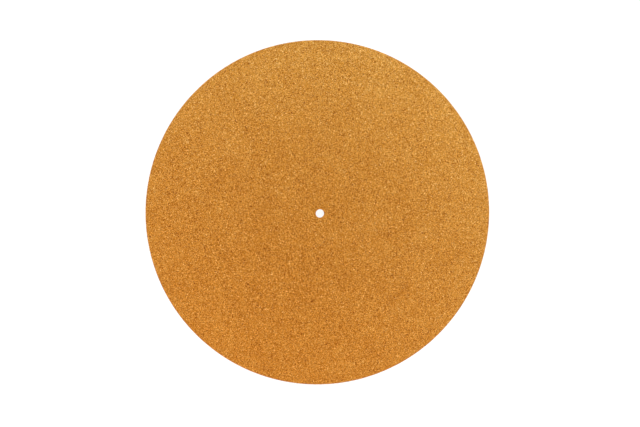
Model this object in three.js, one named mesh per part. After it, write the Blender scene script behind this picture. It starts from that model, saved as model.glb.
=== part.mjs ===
// A turntable platter mat: one flat disc die-cut from fine-grained agglomerated cork sheet, with a
// round hole in its middle that drops over the platter's spindle. The record lies on its top face,
// and its underside lies on the platter. Both faces are alike, so it can be used either way up.
//
// Units are millimetres. +Z points up out of the top face, and the origin is the middle of the
// spindle hole in the plane of the underside.

import * as THREE from "three";

// The disc, a little smaller than a 12 inch record, which is 302 mm across.
const MAT_DIAMETER = 300;
const MAT_THICKNESS = 3;

// The hole: the spindle's own diameter, and the room that the die leaves all round it.
const SPINDLE_DIAMETER = 7.1;
const SPINDLE_CLEARANCE = 0.1;

// The cutting die presses each cut edge of the soft sheet a little round.
const RIM_EDGE_RADIUS = 0.3;
const HOLE_EDGE_RADIUS = 0.2;

// Facets round the full turn, and subdivisions of each rounded edge, which has twice as many facets.
const TURN_FACETS = 180;
const EDGE_SUBDIVISIONS = 1;

const CORK_COLOUR = 0xcb8739;
const CORK_ROUGHNESS = 0.92;
const CORK_METALNESS = 0;

// The section through one side of the ring, from the hole's wall to the rim: a rectangle whose four
// corners are quarter circles. x is the distance from the axis and y the height. It runs down the
// hole's wall, out along the underside, up the rim and back along the top face.
function matSection(holeRadius, rimRadius, thickness) {
  const quarter = Math.PI / 2;
  const rimArcX = rimRadius - RIM_EDGE_RADIUS;
  const holeArcX = holeRadius + HOLE_EDGE_RADIUS;
  const section = new THREE.Path();
  section.absarc(holeArcX, HOLE_EDGE_RADIUS, HOLE_EDGE_RADIUS, 2 * quarter, 3 * quarter);
  section.absarc(rimArcX, RIM_EDGE_RADIUS, RIM_EDGE_RADIUS, 3 * quarter, 4 * quarter);
  section.absarc(rimArcX, thickness - RIM_EDGE_RADIUS, RIM_EDGE_RADIUS, 0, quarter);
  section.absarc(holeArcX, thickness - HOLE_EDGE_RADIUS, HOLE_EDGE_RADIUS, quarter, 2 * quarter);
  section.closePath();
  return section.getPoints(EDGE_SUBDIVISIONS);
}

// The mat: its section turned once round the axis, which LatheGeometry takes as Y and which is then
// stood up along Z.
function makeCorkMat() {
  const holeRadius = SPINDLE_DIAMETER / 2 + SPINDLE_CLEARANCE;
  const section = matSection(holeRadius, MAT_DIAMETER / 2, MAT_THICKNESS);
  const geometry = new THREE.LatheGeometry(section, TURN_FACETS);
  geometry.rotateX(Math.PI / 2);

  // Flat shading keeps both faces evenly lit right up to their rounded edges.
  const cork = new THREE.MeshStandardMaterial({
    color: CORK_COLOUR,
    roughness: CORK_ROUGHNESS,
    metalness: CORK_METALNESS,
    flatShading: true,
  });
  const mat = new THREE.Mesh(geometry, cork);
  mat.name = "cork_mat";
  return mat;
}

const platterMat = new THREE.Group();
platterMat.name = "turntable_platter_mat";
platterMat.add(makeCorkMat());

export default platterMat;
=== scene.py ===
"""A cork platter mat for a turntable, seen from almost straight above on a white table.

The mat is one sheet of fine-grained cork: granules pressed together with a binder, sanded flat on
both faces and cut to a disc with a round hole for the spindle. Its mesh holds the shape and the
relief that a finger would feel: the pits where granules have come out, the unevenness of the sanded
faces, and the crumbly cut edges. Its material holds the granules themselves.

Lengths are in metres, and a name that ends in _MM is in millimetres. +X is the photograph's right,
+Y its top, and +Z points at the camera. The origin is the middle of the hole, on the underside.
"""

import math

import bpy
import numpy as np
from mathutils import Matrix, Vector


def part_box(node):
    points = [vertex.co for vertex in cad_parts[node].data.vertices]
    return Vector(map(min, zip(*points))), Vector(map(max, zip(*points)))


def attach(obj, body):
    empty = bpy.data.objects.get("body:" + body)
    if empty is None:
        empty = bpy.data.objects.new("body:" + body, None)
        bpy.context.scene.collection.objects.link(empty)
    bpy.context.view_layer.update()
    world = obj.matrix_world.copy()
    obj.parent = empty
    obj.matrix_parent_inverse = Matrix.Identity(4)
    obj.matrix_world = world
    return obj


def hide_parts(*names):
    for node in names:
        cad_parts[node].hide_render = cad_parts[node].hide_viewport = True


MM = 0.001

# The mesh of each face: rings of a square grid bent into circles. Ring k has 8 k vertices.
HOLE_RING = 8
RIM_RING = 100

# The die-cut edges: the radius that the die presses on them, and how many steps the mesh takes over
# each rounded edge and over the wall between the two.
RIM_EDGE_MM = 0.3
HOLE_EDGE_MM = 0.2
EDGE_STEPS = 4
WALL_STEPS = 7

# The relief of the sanded faces: how far a vertex sinks at most, and how far it moves sideways.
# The grid is finer close to the hole, so that shift grows from nothing over this many rings.
FACE_RELIEF_MM = 0.05
FACE_SHIFT_MM = 0.3
SHIFT_RINGS = 32

# Where the pits may be: how many steps of the grid lie from one pit's middle to the next at least,
# and how often the room that is left is filled. No middle lies on this many rings at the rim and at
# the hole, or on this many vertices beside the grid's diagonals, where its cells are skewed.
PIT_ROOM = 6
PIT_ROUNDS = 4
PIT_FREE_RINGS = 4
PIT_FREE_BESIDE = 4

# A pit's least and greatest radius and depth, its floor's radius as a share of its own, how ragged
# both outlines are, and the least share of its depth that a vertex of its floor lies at.
PIT_RADIUS_MM = (0.25, 0.5)
PIT_DEPTH_MM = (0.12, 0.32)
PIT_FLOOR = 0.55
PIT_RAGGED = 0.15
PIT_LEAST_DEPTH = 0.75

# The relief of the cut edges, how far a rounded edge may sink, as a share of its radius, and how
# far a vertex moves along the wall, as a share of the mesh's step there.
RIM_RELIEF_MM = 0.14
HOLE_RELIEF_MM = 0.07
EDGE_SINK = 0.6
EDGE_SHIFT = 0.2

# The crumbs that have broken off the rim: the share of vertices that start one, the least and the
# greatest depth of a break, and how far the vertices on its two sides are drawn up to it, as a
# share of the mesh's step.
CRUMB_SHARE = 0.012
CRUMB_DEPTH_MM = (0.15, 0.4)
CRUMB_DRAW = 0.45

# The bake map, laid out in millimetres of the mat: the side of the square, the room under the disc
# that both faces share, the strips of the rim's wall above it, and the hole's wall in a corner.
MAP_SIDE_MM = 331
MAP_ROOM_MM = 1.5
STRIP_LEFT_MM = 3
RIM_STRIPS = 4
RIM_STRIP_MM = (325, 4.6)
RIM_STRIP_BASE_MM = 303.6
RIM_STRIP_STEP_MM = 6.6
HOLE_STRIP_MM = (23, 3)
HOLE_STRIP_BASE_MM = 3

# The cork: the size of its coarse and fine granules, the share of places that hold a coarse one,
# the seams between them, the noise that bends their outlines, and how far the pattern sways
# sideways between the two faces.
COARSE_MM = 0.55
FINE_MM = 0.37
COARSE_SHARE = 0.25
COARSE_SEAM_MM = 0.045
FINE_SEAM_MM = 0.035
BEND_PER_MM = 1.2
BEND_MM = 0.3
SWAY_MM = 0.2

# The flecks: single big granules of dark bark or of pale cork, the share of places that hold one,
# and the share of them that are dark.
FLECK_MM = 0.78
FLECK_SHARE = 0.025
DARK_SHARE = 0.65

# How fine the cells inside a granule and the slow patches over the sheet are, how far each moves a
# granule's tone, the painted shade over the middle of the mat, as how much paler the granules are
# painted at the rim than in the middle, and the octaves of every noise.
CELLS_PER_MM = 5.0
CELL_TONE = 0.5
PATCHES_PER_MM = 0.03
PATCH_TONE = 0.16
MIDDLE_PAINTED_SHADE = 0.07
NOISE_DETAIL = 2.0

# The granules' colours by tone, from dark bark to pale cork, the dark colour of the seams, which is
# also the painted shade in the pits and the rim's breaks, and how much of it each of them takes.
GRANULE_COLOURS = (
    (0.00, (112, 50, 10)),
    (0.06, (149, 67, 10)),
    (0.50, (213, 138, 42)),
    (0.94, (254, 183, 85)),
    (1.00, (255, 203, 116)),
)
SEAM_AND_PAINTED_SHADE_COLOUR = (146, 84, 24)
SEAM_SHADE = 0.45
PIT_PAINTED_SHADE = 0.7

# Painted light and shade: the sheet is painted yellower and paler towards this bearing, as if lit
# from that side, and redder and darker away from it, by these factors.
PAINTED_LIGHT_BEARING = math.radians(66)
PAINTED_SHADE_TINT = (1.0, 0.88, 0.71, 1)
PAINTED_LIGHT_TINT = (1.0, 1.12, 1.29, 1)

# The roughness of sanded granules and of seams and pits, their sheen, the depth of the finest
# relief, and how far a granule's tone lifts it there against its cells.
ROUGHNESS = (0.86, 0.97)
SPECULAR = 0.1
BUMP_MM = 0.04
TONE_LIFT = 0.5

# The camera: a 36 mm frame, and where it stands as the photograph's outline and hole show it.
CAMERA_LENS_MM = 44.93
CAMERA_DISTANCE = 0.695
CAMERA_TILT = math.radians(4.49)
CAMERA_BEARING = math.radians(154.9)

# The soft boxes: bearing in degrees and power in watts, and how far out and how high they stand.
SOFT_BOXES = (
    ("soft_box_top_right", 45, 1.60),
    ("soft_box_top_left", 135, 1.17),
    ("soft_box_bottom_left", 225, 1.24),
    ("soft_box_bottom_right", 315, 1.12),
)
SOFT_BOX_REACH = 0.46
SOFT_BOX_HEIGHT = 0.25
SOFT_BOX_SIZE = 0.4
ROOM_LIGHT = 0.24

# The table top: its half side, how far it lies under the mat, its plain white, and the glow and the
# shade of grey that show it white to the camera outside the mat's shadow.
TABLE_REACH = 3.0
TABLE_GAP_MM = 0.2
TABLE_WHITE = (0.85, 0.85, 0.85, 1)
TABLE_GLOW = 0.9
TABLE_SHADE = (0.2, 0.2, 0.2, 1)

SEED = 33


def paint(red, green, blue):
    """The linear colour, with its alpha, of an sRGB colour whose channels run from 0 to 255.

    The sRGB curve: ((c + 0.055) / 1.055) to the power 2.4, and c / 12.92 where c is under 0.04045.
    """
    share = np.array([red, green, blue]) / 255
    bent = np.where(share > 0.04045, ((share + 0.055) / 1.055) ** 2.4, share / 12.92)
    return (*bent.tolist(), 1.0)


# The mat's mesh


def circle_grid(hole_radius, rim_radius):
    """The places x and y of a square grid of vertices whose rings are bent into circles.

    Vertex (i, j) lies on ring k = max(|i|, |j|). Ring k's radius grows evenly from the hole's at
    HOLE_RING to the rim's at RIM_RING. Each side of the square becomes a quarter of the circle, and
    a vertex's angle from the middle of its side is 45 degrees times j / i on the left and right
    sides, and -45 degrees times i / j on the top and bottom ones.
    """
    steps = np.arange(-RIM_RING, RIM_RING + 1)
    i, j = np.meshgrid(steps, steps, indexing="ij")
    ring = np.maximum(np.abs(i), np.abs(j))
    side = np.abs(i) >= np.abs(j)
    along = np.where(side, j, i) / np.where(side, np.where(i == 0, 1, i), np.where(j == 0, 1, j))
    angle = np.where(
        side,
        np.where(i < 0, np.pi, 0) + np.pi / 4 * along,
        np.where(j < 0, -np.pi / 2, np.pi / 2) - np.pi / 4 * along,
    )
    share = (ring - HOLE_RING) / (RIM_RING - HOLE_RING)
    radius = hole_radius + (rim_radius - hole_radius) * share
    return ring, radius * np.cos(angle), radius * np.sin(angle)


def ring_vertices(k):
    """The grid indices i and j of ring k's vertices, once round from the corner at -45 degrees."""
    up, full = np.arange(-k, k), np.full(2 * k, k)
    i = np.concatenate([full, -up, -full, up]) + RIM_RING
    j = np.concatenate([up, full, -up, -full]) + RIM_RING
    return i, j


def greatest_near(values):
    """For each vertex of the grid, the greatest of the values less than PIT_ROOM steps away."""
    reach = PIT_ROOM - 1
    window = (2 * reach + 1, 2 * reach + 1)
    near = np.lib.stride_tricks.sliding_window_view(np.pad(values, reach), window)
    return near.max(axis=(2, 3))


def pit_middles(ring, rng):
    """The grid indices of the vertices in the middle of a pit, scattered at random.

    Each free vertex draws a number, and a pit's middle is a vertex whose number is the greatest of
    all those less than PIT_ROOM steps away. The vertices that near to it are free no longer, and
    the numbers that are left are compared again, PIT_ROUNDS times in all.
    """
    steps = np.abs(np.arange(-RIM_RING, RIM_RING + 1))
    free = (ring >= HOLE_RING + PIT_FREE_RINGS) & (ring <= RIM_RING - PIT_FREE_RINGS)
    free &= np.abs(steps[:, None] - steps) > PIT_FREE_BESIDE
    number = rng.uniform(0, 1, ring.shape) * free
    middles = np.zeros(ring.shape, bool)
    for _ in range(PIT_ROUNDS):
        found = (number > 0) & (number == greatest_near(number))
        middles |= found
        number[greatest_near(found)] = 0
    return np.nonzero(middles)


def sanded_face(ring, x, y, rng):
    """One face's relief: each vertex's place, its depth below the flat, and its share of a pit.

    Every vertex is shifted a little along the face and sunk a little into it, at random. Round the
    middle of each pit a patch of 5 by 5 vertices is drawn together: its inner 9 lie on the pit's
    floor, and its outer 16 are the pit's ragged rim, which stays on the flat.
    """
    inner = (ring > HOLE_RING) & (ring < RIM_RING)
    shift = FACE_SHIFT_MM * MM * inner * np.clip((ring - HOLE_RING) / SHIFT_RINGS, 0, 1)
    even_x, even_y = x, y
    x = x + shift * rng.uniform(-1, 1, x.shape)
    y = y + shift * rng.uniform(-1, 1, y.shape)
    depth = FACE_RELIEF_MM * MM * inner * rng.uniform(0, 1, x.shape)
    pit = np.zeros(x.shape)

    # The 25 vertices of each patch, and how many steps each one lies from the patch's middle.
    ci, cj = pit_middles(ring, rng)
    di, dj = (d.ravel() for d in np.meshgrid(np.arange(-2, 3), np.arange(-2, 3), indexing="ij"))
    pi, pj = ci[:, None] + di, cj[:, None] + dj
    level = np.maximum(np.abs(di), np.abs(dj))

    # The directions come from the even grid, in which no two of them can change places.
    dx = even_x[pi, pj] - even_x[ci, cj][:, None]
    dy = even_y[pi, pj] - even_y[ci, cj][:, None]
    away = np.where(level > 0, np.hypot(dx, dy), 1)
    size = MM * rng.uniform(*PIT_RADIUS_MM, len(ci))[:, None]
    ragged = 1 + PIT_RAGGED * rng.uniform(-1, 1, pi.shape)
    reach = size * np.array([0, PIT_FLOOR, 1])[level] * ragged
    x[pi, pj] = x[ci, cj][:, None] + dx / away * reach
    y[pi, pj] = y[ci, cj][:, None] + dy / away * reach
    floor = MM * rng.uniform(*PIT_DEPTH_MM, len(ci))[:, None] * (level < 2)
    depth[pi, pj] = floor * rng.uniform(PIT_LEAST_DEPTH, 1, pi.shape)
    pit[pi, pj] = level < 2
    return x, y, depth, pit


def cut_edge(radius, edge, relief, crumb_share, outward, count, thickness, rng):
    """The cut wall round the rim or the hole: a section carried round the axis.

    The section is a quarter circle from the top face, a straight wall and a quarter circle onto the
    underside. A vertex at angle a is at (r cos a, r sin a, z), with r and z from the section, moved
    into the cork by a random relief that is smooth along the section. The cork lies inside the wall
    where outward is 1, at the rim, and outside it where outward is -1, at the hole. The rounded
    rows sink less than their radius, so that they never fold over, and the first and last rows lie
    on the faces and don't move.
    """
    bend = np.linspace(0, np.pi / 2, EDGE_STEPS + 1)
    wall = np.linspace(1, 0, WALL_STEPS + 1)[1:-1]
    straight = edge + (thickness - 2 * edge) * wall
    # How far each point lies from the wall's line, its height, and its normal's two parts.
    back = np.concatenate([edge * (1 - np.sin(bend)), 0 * wall, edge * (1 - np.cos(bend))])
    z = np.concatenate([thickness - edge * (1 - np.cos(bend)), straight, edge * (1 - np.sin(bend))])
    across = np.concatenate([np.sin(bend), 1 + 0 * wall, np.cos(bend)])
    upward = np.concatenate([np.cos(bend), 0 * wall, -np.sin(bend)])

    # A few vertices lie deeper, where a crumb has broken off.
    rough = rng.uniform(0, 1, (len(z) + 2, count))
    rough = (rough[:-2] + 2 * rough[1:-1] + rough[2:]) / 4
    crumb = rng.uniform(0, 1, (len(z) + 2, count)) < crumb_share
    crumb = (crumb[:-2] | crumb[1:-1] | crumb[2:]) * 1.0
    broken = crumb * rng.uniform(*CRUMB_DEPTH_MM, crumb.shape) * MM
    rounded = np.full(EDGE_STEPS + 1, EDGE_SINK * edge)
    deepest = np.concatenate([rounded, np.full(WALL_STEPS - 1, np.inf), rounded])
    deepest[[0, -1]] = 0
    sunk = np.minimum(relief * rough + broken, deepest[:, None])

    # The vertices on both sides of a break are drawn up to it.
    along = EDGE_SHIFT * rng.uniform(-1, 1, crumb.shape)
    beside = np.roll(crumb, -1, axis=1) - np.roll(crumb, 1, axis=1)
    along = np.where(beside, CRUMB_DRAW * beside, along) * (deepest > 0)[:, None]
    angle = ((np.arange(count) + along) / count - 1 / 8) * 2 * np.pi
    r = radius - outward * (back[:, None] + sunk * across[:, None])
    z = z[:, None] - sunk * upward[:, None]
    return np.stack([r * np.cos(angle), r * np.sin(angle), z], axis=-1), crumb


def disc_places(x, y, rim_radius):
    """The places of a face's vertices on the bake map: the disc itself, moved into the square."""
    side = MAP_SIDE_MM * MM
    return x / side + 0.5, (y + rim_radius + MAP_ROOM_MM * MM) / side


def strip_places(shape, base, size):
    """The places of a wall's rows and columns of vertices on the bake map: an even upright grid."""
    wide, tall = size
    rows, columns = shape
    v = (base + tall * np.linspace(1, 0, rows)) / MAP_SIDE_MM
    u = (STRIP_LEFT_MM + wide * np.linspace(0, 1, columns)) / MAP_SIDE_MM
    v, u = np.meshgrid(v, u, indexing="ij")
    return u, v


def quads_of(index, flip):
    """The quads of a grid of vertex numbers.

    They face along the cross product of the grid's two directions, or the other way with flip.
    """
    corners = [index[:-1, :-1], index[1:, :-1], index[1:, 1:], index[:-1, 1:]]
    return np.stack(corners[::-1] if flip else corners, axis=-1).reshape(-1, 4)


def split_order(points, quads):
    """For each quad, which of its corners make its two triangles: the better of its two splits.

    A triangle's area is half the dot product of its own normal with the quad's, which is the cross
    product of the quad's diagonals, so a triangle that folds over counts as less than none. The
    better split is the one whose smaller triangle is larger.
    """
    a, b, c, d = (points[quads[:, k]] for k in range(4))
    facing = np.cross(c - a, d - b)

    def area(first, second, third):
        return (np.cross(second - first, third - first) * facing).sum(axis=1)

    across_ac = np.minimum(area(a, b, c), area(a, c, d))
    across_bd = np.minimum(area(a, b, d), area(b, c, d))
    return np.where((across_ac >= across_bd)[:, None], (0, 1, 2, 0, 2, 3), (0, 1, 3, 1, 2, 3))


def sew(points, sheets):
    """The triangles of several grids of vertices, and each triangle corner's place on the bake map.

    A sheet is a grid of vertex numbers, whether its quads are flipped, and the grids u and v of its
    vertices' places. A quad with a corner numbered -1 is left out: it would lie over the hole.
    """
    faces, places = [], []
    for index, flip, u, v in sheets:
        quads = quads_of(index, flip)
        whole = (quads >= 0).all(axis=1)
        order = split_order(points, quads[whole])
        corners = quads_of(np.arange(u.size).reshape(u.shape), flip)[whole]
        corners = np.take_along_axis(corners, order, axis=1).ravel()
        faces.append(np.take_along_axis(quads[whole], order, axis=1).reshape(-1, 3))
        places.append(np.stack([u.ravel()[corners], v.ravel()[corners]], axis=-1))
    return np.concatenate(faces), np.concatenate(places)


def make_mat(hole_radius, rim_radius, thickness):
    """The mat: two sanded faces, the rim's wall and the hole's wall, sewn into one closed mesh."""
    rng = np.random.default_rng(SEED)
    ring, x, y = circle_grid(hole_radius + HOLE_EDGE_MM * MM, rim_radius - RIM_EDGE_MM * MM)
    x, y, depth, pit = sanded_face(ring, x, y, rng)
    used = ring >= HOLE_RING
    top = np.full(ring.shape, -1)
    top[used] = np.arange(used.sum())
    under = np.where(used, top + used.sum(), -1)
    points = [
        np.stack([x[used], y[used], thickness - depth[used]], axis=-1),
        np.stack([x[used], y[used], depth[used]], axis=-1),
    ]
    pits = [pit[used], pit[used]]
    count = 2 * used.sum()
    disc = disc_places(x, y, rim_radius)
    sheets = [(top, False, *disc), (under, True, *disc)]

    rim_cut = (RIM_EDGE_MM * MM, RIM_RELIEF_MM * MM, CRUMB_SHARE)
    hole_cut = (HOLE_EDGE_MM * MM, HOLE_RELIEF_MM * MM, 0)
    rim_bases = [RIM_STRIP_BASE_MM + s * RIM_STRIP_STEP_MM for s in range(RIM_STRIPS)]
    for k, radius, cut, outward, bases, size in (
        (RIM_RING, rim_radius, rim_cut, 1, rim_bases, RIM_STRIP_MM),
        (HOLE_RING, hole_radius, hole_cut, -1, [HOLE_STRIP_BASE_MM], HOLE_STRIP_MM),
    ):
        wall, crumb = cut_edge(radius, *cut, outward, 8 * k, thickness, rng)
        points.append(wall[1:-1].reshape(-1, 3))
        pits.append(crumb[1:-1].ravel())
        new = count + np.arange(crumb[1:-1].size).reshape(-1, 8 * k)
        count += new.size
        index = np.vstack([top[ring_vertices(k)], new, under[ring_vertices(k)]])
        index = np.hstack([index, index[:, :1]])
        columns = 8 * k // len(bases)
        for s, base in enumerate(bases):
            part = index[:, s * columns : (s + 1) * columns + 1]
            sheets.append((part, outward < 0, *strip_places(part.shape, base, size)))

    points = np.concatenate(points)
    faces, places = sew(points, sheets)
    mesh = bpy.data.meshes.new("cork_sheet")
    mesh.from_pydata(points.tolist(), [], faces.tolist())
    mesh.polygons.foreach_set("use_smooth", np.ones(len(faces), bool))
    mesh.uv_layers.new(name="OFBake")
    mesh.uv_layers["OFBake"].uv.foreach_set("vector", places.astype(np.float32).ravel())
    # A break in the rim gets the same painted shade as a pit, so both are in one attribute.
    mesh.attributes.new("pit", "FLOAT", "POINT")
    mesh.attributes["pit"].data.foreach_set("value", np.concatenate(pits).astype(np.float32))
    mesh.validate()
    mesh.update()
    piece = bpy.data.objects.new("cork_sheet", mesh)
    bpy.context.scene.collection.objects.link(piece)
    return piece


# The cork


def add(tree, kind, values=None, **settings):
    """A new node in tree. A value that is a socket is linked, and any other is set on the input."""
    node = tree.nodes.new(kind)
    for name, value in settings.items():
        setattr(node, name, value)
    for name, value in (values or {}).items():
        if isinstance(value, bpy.types.NodeSocket):
            tree.links.new(value, node.inputs[name])
        else:
            node.inputs[name].default_value = value
    return node


def math_node(tree, operation, *values):
    """The result of a Math node on up to three values, each a socket or a number."""
    return add(tree, "ShaderNodeMath", dict(enumerate(values)), operation=operation).outputs[0]


def mix(tree, factor, first, second):
    """The blend of two numbers or of two colours: first where factor is 0, second where it is 1."""
    plain = isinstance(second, float) or getattr(second, "type", "RGBA") == "VALUE"
    node = add(tree, "ShaderNodeMix", {"Factor": factor}, data_type="FLOAT" if plain else "RGBA")
    sockets = [s for s in node.inputs if s.enabled and s.name in "AB"]
    for socket, value in zip(sockets, (first, second)):
        if isinstance(value, bpy.types.NodeSocket):
            tree.links.new(value, socket)
        else:
            socket.default_value = value
    return next(s for s in node.outputs if s.enabled)


def granule_group():
    """Granules pressed tight against each other, one Voronoi cell for each.

    Tone and Pick are two numbers from 0 to 1 that are a granule's own. Seam is 1 on the line where
    two granules meet, and falls to 0 at Seam Width from it. Both lengths are in millimetres.
    """
    tree = bpy.data.node_groups.new("cork granules", "ShaderNodeTree")
    for name, kind in (("Vector", "Vector"), ("Size", "Float"), ("Seam Width", "Float")):
        tree.interface.new_socket(name, in_out="INPUT", socket_type="NodeSocket" + kind)
    for name in ("Tone", "Pick", "Seam"):
        tree.interface.new_socket(name, in_out="OUTPUT", socket_type="NodeSocketFloat")
    given = tree.nodes.new("NodeGroupInput").outputs
    result = tree.nodes.new("NodeGroupOutput").inputs

    per_metre = math_node(tree, "DIVIDE", 1 / MM, given["Size"])
    cell = {"Vector": given["Vector"], "Scale": per_metre}
    granule = add(tree, "ShaderNodeTexVoronoi", cell)
    border = add(tree, "ShaderNodeTexVoronoi", cell, feature="DISTANCE_TO_EDGE")
    numbers = add(tree, "ShaderNodeSeparateColor", {"Color": granule.outputs["Color"]})
    # The distance is in cells, so it is turned into millimetres.
    gap = math_node(tree, "MULTIPLY", border.outputs["Distance"], given["Size"])
    seam = add(
        tree,
        "ShaderNodeMapRange",
        {"Value": gap, "From Max": given["Seam Width"], "To Min": 1.0, "To Max": 0.0},
        interpolation_type="SMOOTHSTEP",
    )
    tree.links.new(numbers.outputs["Red"], result["Tone"])
    tree.links.new(numbers.outputs["Green"], result["Pick"])
    tree.links.new(seam.outputs["Result"], result["Seam"])
    return tree


def folded_place(tree, thickness):
    """The place in the sheet, folded at half the thickness, so that both faces show one pattern.

    Between the faces x and y are shifted by SWAY_MM times the sine of 2 pi z / thickness. The shift
    is opposite above and below the fold, so the halves of a cut wall don't mirror each other.
    """
    place = add(tree, "ShaderNodeTexCoord").outputs["Object"]
    parts = add(tree, "ShaderNodeSeparateXYZ", {0: place}).outputs
    turn = math_node(tree, "SINE", math_node(tree, "MULTIPLY", parts["Z"], 2 * math.pi / thickness))
    x = math_node(tree, "MULTIPLY_ADD", turn, SWAY_MM * MM, parts["X"])
    y = math_node(tree, "MULTIPLY_ADD", turn, SWAY_MM * MM, parts["Y"])
    above = math_node(tree, "SUBTRACT", parts["Z"], thickness / 2)
    folded = math_node(tree, "ABSOLUTE", above)
    return add(tree, "ShaderNodeCombineXYZ", {"X": x, "Y": y, "Z": folded}).outputs[0]


def cork_material(thickness, radius):
    """Fine-grained cork: coarse granules with finer ones between them, dark seams, painted shade in
    pits.
    """
    material = bpy.data.materials.new("cork")
    material.use_nodes = True
    tree = material.node_tree
    tree.nodes.clear()
    sheet = folded_place(tree, thickness)

    # Granules aren't straight-sided, so the pattern is bent by one noise. The cells of the cork
    # inside a granule are another, and slow changes of tone over the sheet a third.
    wobble, cells, patches = (
        add(
            tree,
            "ShaderNodeTexNoise",
            {"Vector": sheet, "Scale": per_mm / MM, "Detail": NOISE_DETAIL},
        ).outputs
        for per_mm in (BEND_PER_MM, CELLS_PER_MM, PATCHES_PER_MM)
    )
    centred = add(
        tree,
        "ShaderNodeVectorMath",
        {0: wobble["Color"], 1: (0.5, 0.5, 0.5)},
        operation="SUBTRACT",
    )
    bent = add(
        tree,
        "ShaderNodeVectorMath",
        {0: centred.outputs[0], 1: (BEND_MM * MM,) * 3, 2: sheet},
        operation="MULTIPLY_ADD",
    ).outputs[0]

    granules = granule_group()
    coarse, fine, fleck = (
        add(
            tree,
            "ShaderNodeGroup",
            {"Vector": bent, "Size": size, "Seam Width": seam_width},
            node_tree=granules,
        ).outputs
        for size, seam_width in (
            (COARSE_MM, COARSE_SEAM_MM),
            (FINE_MM, FINE_SEAM_MM),
            (FLECK_MM, COARSE_SEAM_MM),
        )
    )

    # A coarse granule is either whole, or its place is filled with fine ones.
    whole = math_node(tree, "LESS_THAN", coarse["Pick"], COARSE_SHARE)
    tone = mix(tree, whole, fine["Tone"], coarse["Tone"])
    fine_seam = mix(tree, whole, fine["Seam"], 0.0)
    seam = math_node(tree, "MAXIMUM", coarse["Seam"], fine_seam)

    # A fleck takes the place of the granules under it.
    flecked = math_node(tree, "LESS_THAN", fleck["Pick"], FLECK_SHARE)
    tone = mix(tree, flecked, tone, math_node(tree, "GREATER_THAN", fleck["Tone"], DARK_SHARE))
    seam = mix(tree, flecked, seam, fleck["Seam"])

    # The noises are centred on 0.5, so their middle leaves the tone as it is.
    for noise, amount in ((cells, CELL_TONE), (patches, PATCH_TONE)):
        offset = math_node(tree, "SUBTRACT", noise["Fac"], 0.5)
        tone = math_node(tree, "MULTIPLY_ADD", offset, amount, tone)
    # Painted shade over the middle: the tone grows paler with the square of the distance from it.
    from_middle = add(tree, "ShaderNodeVectorMath", {0: sheet}, operation="LENGTH").outputs["Value"]
    outwards = math_node(tree, "POWER", math_node(tree, "DIVIDE", from_middle, radius), 2)
    tone = math_node(tree, "MULTIPLY_ADD", outwards, MIDDLE_PAINTED_SHADE, tone)

    ramp = add(tree, "ShaderNodeValToRGB", {"Fac": tone})
    for _ in range(len(GRANULE_COLOURS) - 2):
        ramp.color_ramp.elements.new(0.5)
    for element, (position, colour) in zip(ramp.color_ramp.elements, GRANULE_COLOURS):
        element.position = position
        element.color = paint(*colour)

    seam_shade = math_node(tree, "MULTIPLY", seam, SEAM_SHADE)
    colour = mix(tree, seam_shade, ramp.outputs["Color"], paint(*SEAM_AND_PAINTED_SHADE_COLOUR))
    # Painted shade in the pits and the rim's breaks: their colour is mixed towards the seams' dark
    # colour.
    pit = add(tree, "ShaderNodeAttribute", attribute_name="pit").outputs["Fac"]
    pit_painted_shade = math_node(tree, "MULTIPLY", pit, PIT_PAINTED_SHADE)
    colour = mix(tree, pit_painted_shade, colour, paint(*SEAM_AND_PAINTED_SHADE_COLOUR))

    # Painted light and shade: the sheet is painted yellower and paler towards one side, as if lit
    # from it, and redder and darker towards the other.
    direction = (math.cos(PAINTED_LIGHT_BEARING) / radius, math.sin(PAINTED_LIGHT_BEARING) / radius, 0)
    towards = add(
        tree, "ShaderNodeVectorMath", {0: sheet, 1: direction}, operation="DOT_PRODUCT"
    ).outputs["Value"]
    painted_light_share = add(
        tree, "ShaderNodeMapRange", {"Value": towards, "From Min": -1.0, "From Max": 1.0}
    ).outputs[0]
    painted_light_tint = mix(tree, painted_light_share, PAINTED_SHADE_TINT, PAINTED_LIGHT_TINT)
    colour = add(
        tree, "ShaderNodeVectorMath", {0: colour, 1: painted_light_tint}, operation="MULTIPLY"
    ).outputs[0]

    # Seams and pits are rougher than the sanded granules, and lie a little lower.
    rough = mix(tree, math_node(tree, "MAXIMUM", seam, pit), ROUGHNESS[0], ROUGHNESS[1])
    level = math_node(tree, "MULTIPLY_ADD", tone, TONE_LIFT, cells["Fac"])
    height = math_node(tree, "SUBTRACT", level, seam)
    bump = add(tree, "ShaderNodeBump", {"Height": height, "Distance": BUMP_MM * MM})
    shader = add(
        tree,
        "ShaderNodeBsdfPrincipled",
        {
            "Base Color": colour,
            "Roughness": rough,
            "Specular IOR Level": SPECULAR,
            "Normal": bump.outputs[0],
        },
    )
    add(tree, "ShaderNodeOutputMaterial", {"Surface": shader.outputs[0]})
    return material


# The table, the lights and the camera


def seen(tree):
    """1 for a ray that shows a surface straight, in a sheen or through glass, and 0 otherwise."""
    path = add(tree, "ShaderNodeLightPath").outputs
    shown = math_node(tree, "MAXIMUM", path["Is Camera Ray"], path["Is Glossy Ray"])
    return math_node(tree, "MAXIMUM", shown, path["Is Transmission Ray"])


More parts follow.
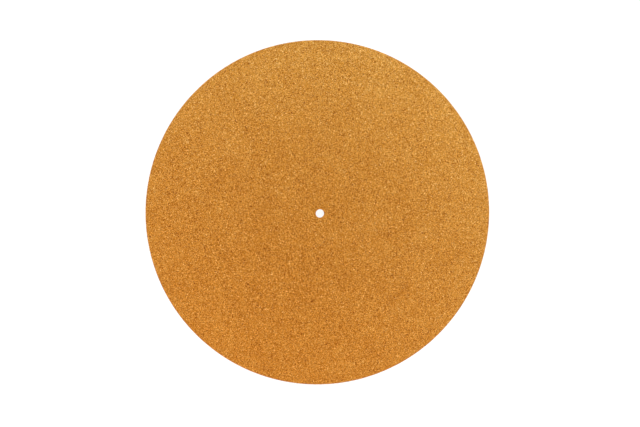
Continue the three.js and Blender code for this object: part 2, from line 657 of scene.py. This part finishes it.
def make_table():
    """A white table top just under the mat, which keeps the mat's shadow."""
    level = -TABLE_GAP_MM * MM
    sides = ((-1, -1), (1, -1), (1, 1), (-1, 1))
    corners = [(x * TABLE_REACH, y * TABLE_REACH, level) for x, y in sides]
    mesh = bpy.data.meshes.new("table_top")
    mesh.from_pydata(corners, [], [(0, 1, 2, 3)])
    table = bpy.data.objects.new("table_top", mesh)
    bpy.context.scene.collection.objects.link(table)

    material = bpy.data.materials.new("white_table")
    material.use_nodes = True
    tree = material.node_tree
    tree.nodes.clear()
    glow = add(tree, "ShaderNodeEmission", {"Strength": TABLE_GLOW})
    shade = add(tree, "ShaderNodeBsdfDiffuse", {"Color": TABLE_SHADE})
    white = add(tree, "ShaderNodeAddShader", {0: glow.outputs[0], 1: shade.outputs[0]})
    plain = add(tree, "ShaderNodeBsdfDiffuse", {"Color": TABLE_WHITE})
    both = add(
        tree,
        "ShaderNodeMixShader",
        {"Fac": seen(tree), 1: plain.outputs[0], 2: white.outputs[0]},
    )
    add(tree, "ShaderNodeOutputMaterial", {"Surface": both.outputs[0]})
    mesh.materials.append(material)
    return table


def make_world():
    """Even light from all round, and white where the camera sees past the table."""
    world = bpy.data.worlds.new("studio")
    world.use_nodes = True
    tree = world.node_tree
    tree.nodes.clear()
    strength = mix(tree, seen(tree), ROOM_LIGHT, 1.0)
    light = add(tree, "ShaderNodeBackground", {"Color": (1, 1, 1, 1), "Strength": strength})
    add(tree, "ShaderNodeOutputWorld", {"Surface": light.outputs[0]})
    bpy.context.scene.world = world


def aimed(place, target):
    """The matrix of something at place that looks at target, with +Y up in its view."""
    back = (Vector(place) - Vector(target)).normalized()
    right = Vector((0, 1, 0)).cross(back).normalized()
    turned = Matrix((right, back.cross(right), back)).transposed().to_4x4()
    return Matrix.Translation(place) @ turned


def make_lights(target):
    """Four soft boxes round the table, the strongest beyond the photograph's top right corner."""
    for name, bearing, power in SOFT_BOXES:
        angle = math.radians(bearing)
        data = bpy.data.lights.new(name, "AREA")
        data.size = SOFT_BOX_SIZE
        data.energy = power
        lamp = bpy.data.objects.new(name, data)
        across = (SOFT_BOX_REACH * math.cos(angle), SOFT_BOX_REACH * math.sin(angle))
        lamp.matrix_world = aimed((*across, SOFT_BOX_HEIGHT), target)
        lamp.visible_camera = False
        bpy.context.scene.collection.objects.link(lamp)


def make_camera(target):
    """Looks at target from the distance, tilt and bearing that the photograph's outline gives."""
    sideways = CAMERA_DISTANCE * math.sin(CAMERA_TILT)
    offset = Vector(
        (
            sideways * math.cos(CAMERA_BEARING),
            sideways * math.sin(CAMERA_BEARING),
            CAMERA_DISTANCE * math.cos(CAMERA_TILT),
        )
    )
    data = bpy.data.cameras.new("camera")
    data.lens = CAMERA_LENS_MM
    camera = bpy.data.objects.new("camera", data)
    camera.matrix_world = aimed(Vector(target) + offset, target)
    bpy.context.scene.collection.objects.link(camera)
    bpy.context.scene.camera = camera


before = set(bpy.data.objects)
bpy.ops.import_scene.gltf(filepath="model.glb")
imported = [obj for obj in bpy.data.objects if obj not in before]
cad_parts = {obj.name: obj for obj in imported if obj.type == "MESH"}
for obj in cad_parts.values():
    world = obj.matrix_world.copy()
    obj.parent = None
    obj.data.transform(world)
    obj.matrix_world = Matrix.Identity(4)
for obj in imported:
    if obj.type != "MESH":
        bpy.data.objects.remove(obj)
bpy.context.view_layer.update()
_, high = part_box("cork_mat")
rim_radius, thickness = high.x, high.z
middle = (0, 0, thickness)

# The hole's radius is how far the solid's innermost vertices lie from the axis.
solid = np.array([v.co[:2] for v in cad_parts["cork_mat"].data.vertices])
hole_radius = np.hypot(*solid.T).min()

mat = make_mat(hole_radius, rim_radius, thickness)
mat.data.materials.append(cork_material(thickness, rim_radius))
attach(mat, "root")
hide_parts("cork_mat")

make_table()
make_world()
make_lights(middle)
make_camera(middle)
bpy.context.scene.view_settings.view_transform = "Standard"
